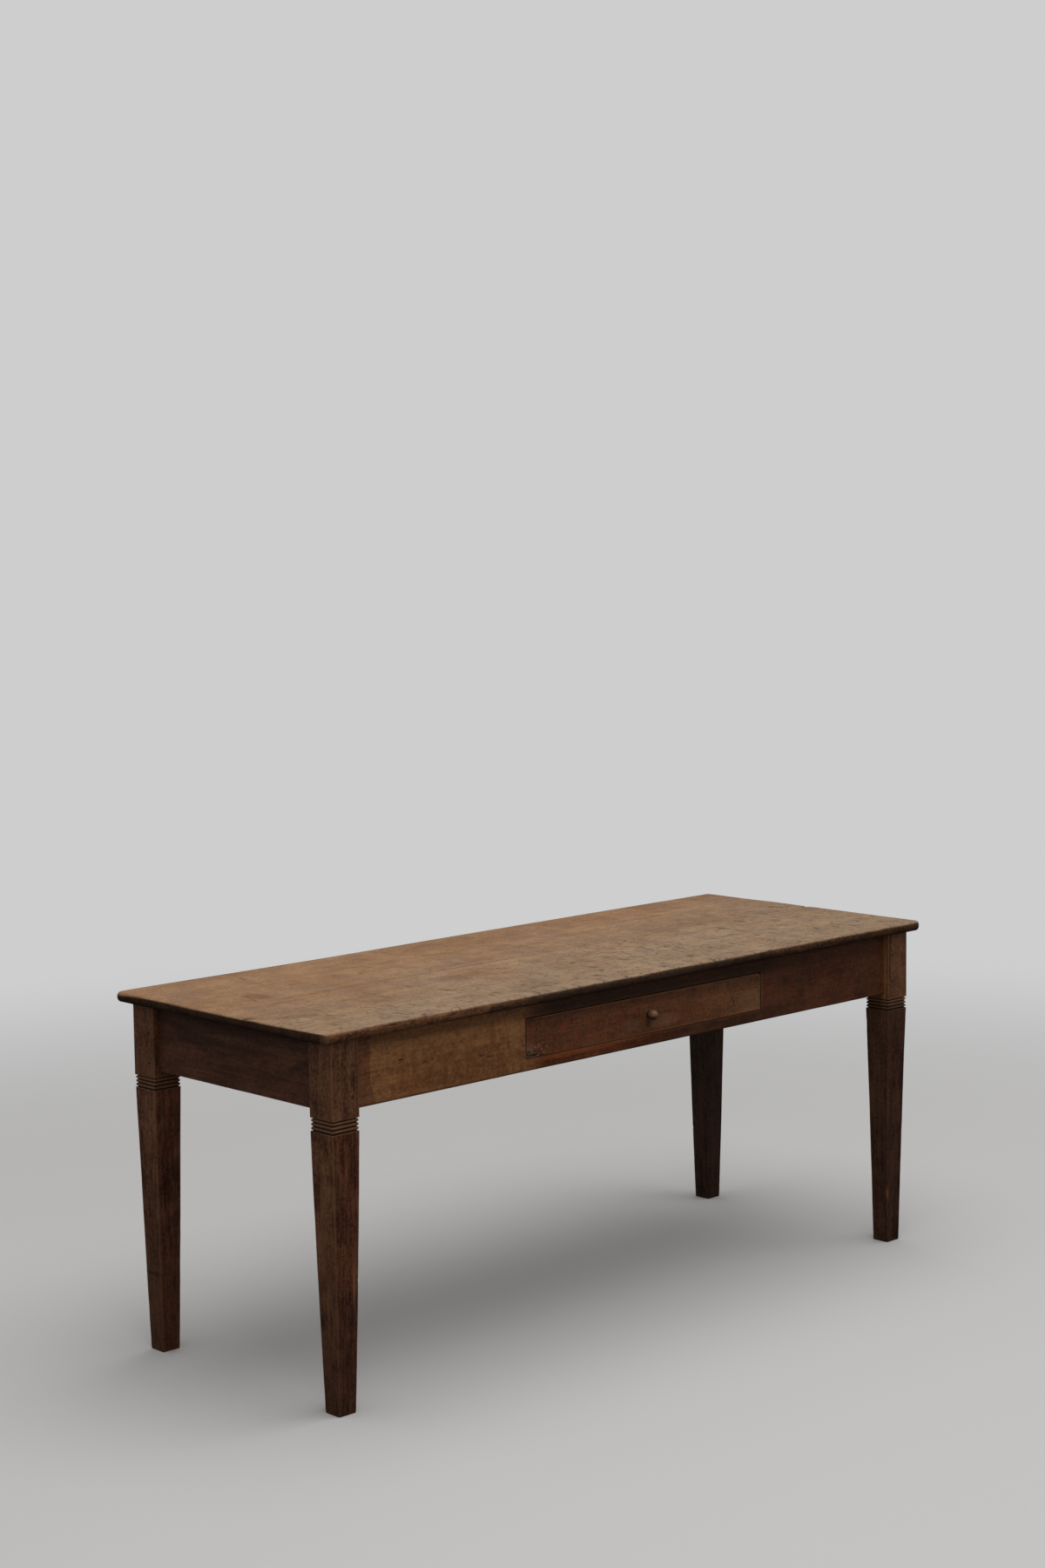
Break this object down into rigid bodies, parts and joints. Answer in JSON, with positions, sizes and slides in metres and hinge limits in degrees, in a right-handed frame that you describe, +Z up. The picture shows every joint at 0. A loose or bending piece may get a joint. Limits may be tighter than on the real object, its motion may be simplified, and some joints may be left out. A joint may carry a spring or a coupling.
{
  "type": "kitchen table",
  "caption": "Long antique wooden kitchen table with square tapered legs, reeded leg bands, a rounded plank top and a flush drawer with a turned knob that slides out of the front apron.",
  "frame": {"origin": "on the floor, under the middle of the top", "axes": "+X along the table, the drawer faces -Y, +Z up"},
  "size_m": [1.8, 0.67, 0.755],
  "materials": {
    "scrubbed_top_wood": "scrubbed and faded, dry, open grain with dents",
    "leg_wood": "old worn finish, dull satin",
    "apron_wood": "old worn finish, dull satin",
    "drawer_front_wood": "old worn finish, dull satin",
    "knob_wood": "handled, satin",
    "peg_wood": "dark end grain",
    "drawer_box_wood": "bare, planed",
    "inner_wood": "bare, sawn",
    "dull_iron": "dull, lightly rusted"
  },
  "bodies": {
    "frame": {"apron_back": "apron_wood", "apron_front": "apron_wood", "apron_left": "apron_wood", "apron_right": "apron_wood", "button_back_left": "inner_wood", "button_back_middle": "inner_wood", "button_back_right": "inner_wood", "button_end_left": "inner_wood", "button_end_right": "inner_wood", "button_front_left": "inner_wood", "button_front_right": "inner_wood", "button_screws": "dull_iron", "drawer_guide_left": "inner_wood", "drawer_guide_right": "inner_wood", "drawer_kicker_left": "inner_wood", "drawer_kicker_right": "inner_wood", "drawer_runner_left": "inner_wood", "drawer_runner_right": "inner_wood", "drawer_stop_left": "inner_wood", "drawer_stop_right": "inner_wood", "leg_back_left": "leg_wood", "leg_back_right": "leg_wood", "leg_front_left": "leg_wood", "leg_front_right": "leg_wood", "pegs_back_left": "peg_wood", "pegs_back_right": "peg_wood", "pegs_front_left": "peg_wood", "pegs_front_right": "peg_wood", "runner_nails": "dull_iron", "top_back_board": "scrubbed_top_wood", "top_front_board": "scrubbed_top_wood", "top_tongue": "inner_wood"},
    "drawer": {"drawer_front": "drawer_front_wood", "drawer_side_left": "drawer_box_wood", "drawer_side_right": "drawer_box_wood", "drawer_back": "drawer_box_wood", "drawer_bottom": "drawer_box_wood", "drawer_bottom_nails": "dull_iron", "drawer_knob": "knob_wood"}
  },
  "joints": [
    {"name": "drawer_slide", "type": "slide", "parent": "frame", "child": "drawer", "axis": [0, -1, 0], "range_m": [0, 0.36]}
  ]
}
